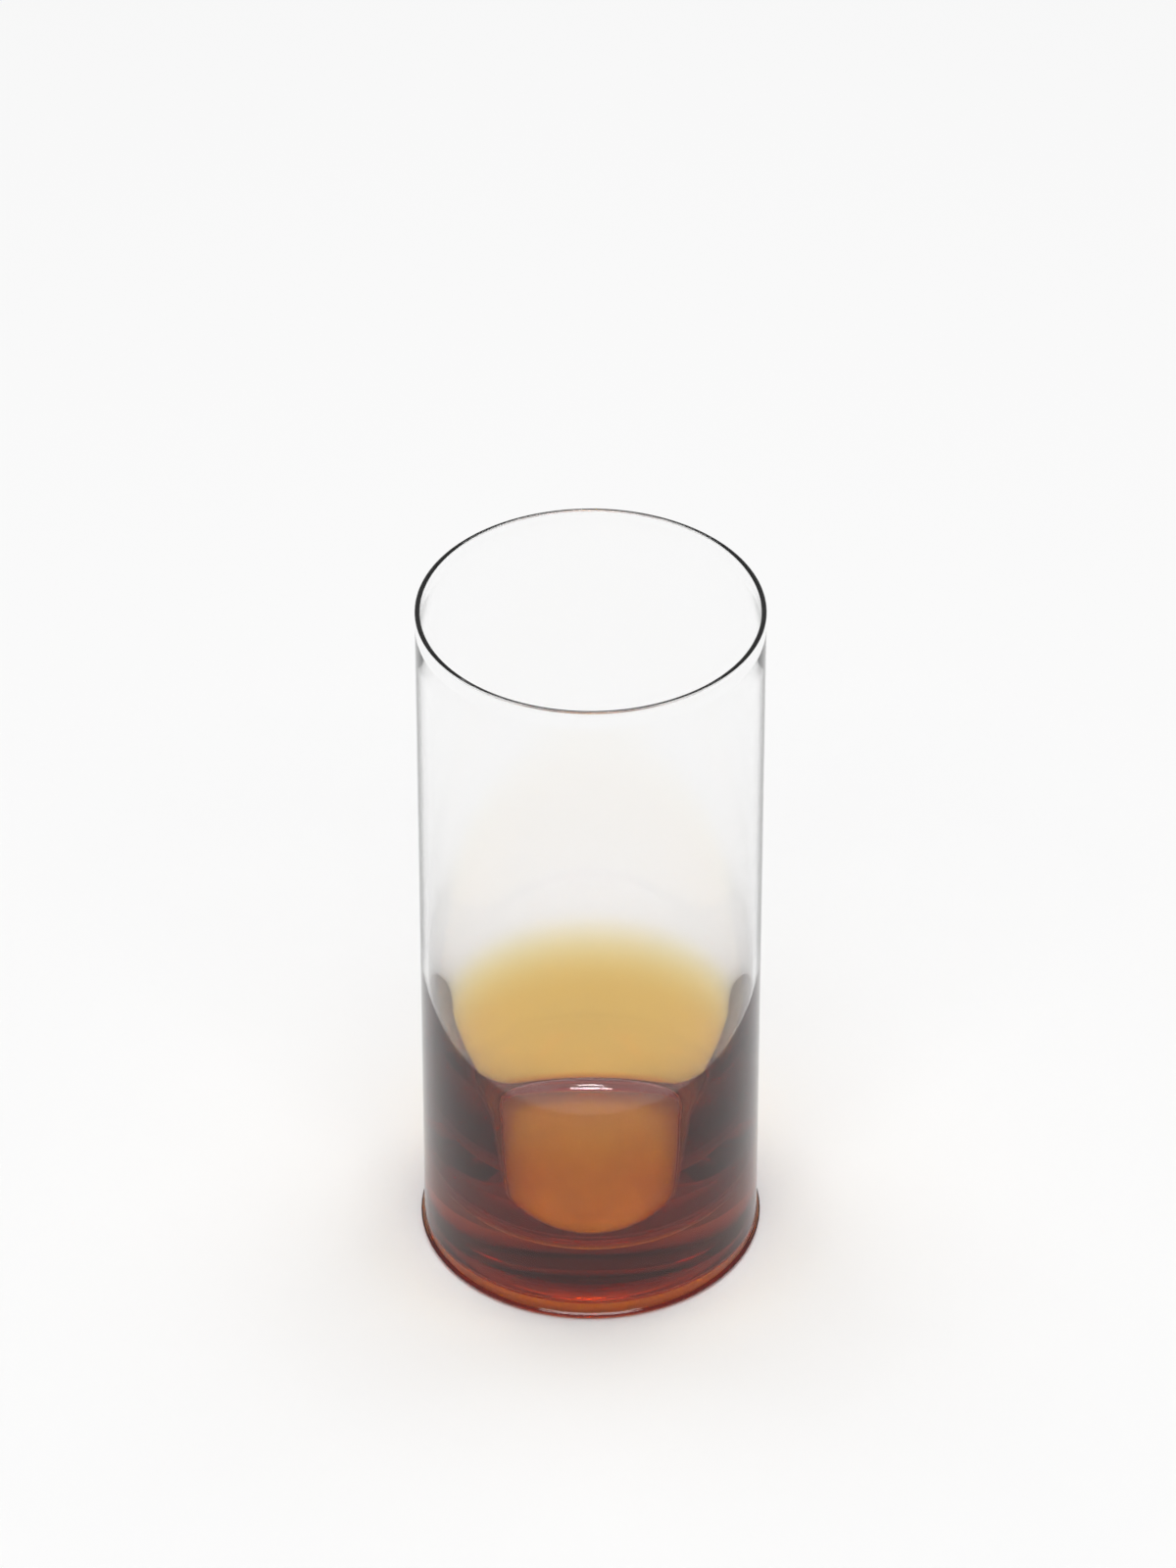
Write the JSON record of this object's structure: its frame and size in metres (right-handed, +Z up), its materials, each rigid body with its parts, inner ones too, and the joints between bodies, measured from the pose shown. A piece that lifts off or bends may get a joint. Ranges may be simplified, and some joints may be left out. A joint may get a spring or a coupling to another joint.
{
  "type": "highball glass",
  "caption": "Tall straight-sided drinking glass with a thin clear wall and a heavy amber base whose colour fades out up the wall.",
  "frame": {"origin": "on the axis of the glass, at the plane it rests on", "axes": "+Z up along the axis, from the base to the rim"},
  "size_m": [0.0714, 0.0714, 0.156],
  "materials": {
    "clear_glass": "fire-polished, smooth and colourless",
    "amber_glass": "fire-polished, smooth, amber through the body"
  },
  "bodies": {
    "root": {"clear_bubble": "clear_glass", "amber_base": "amber_glass"}
  },
  "joints": []
}
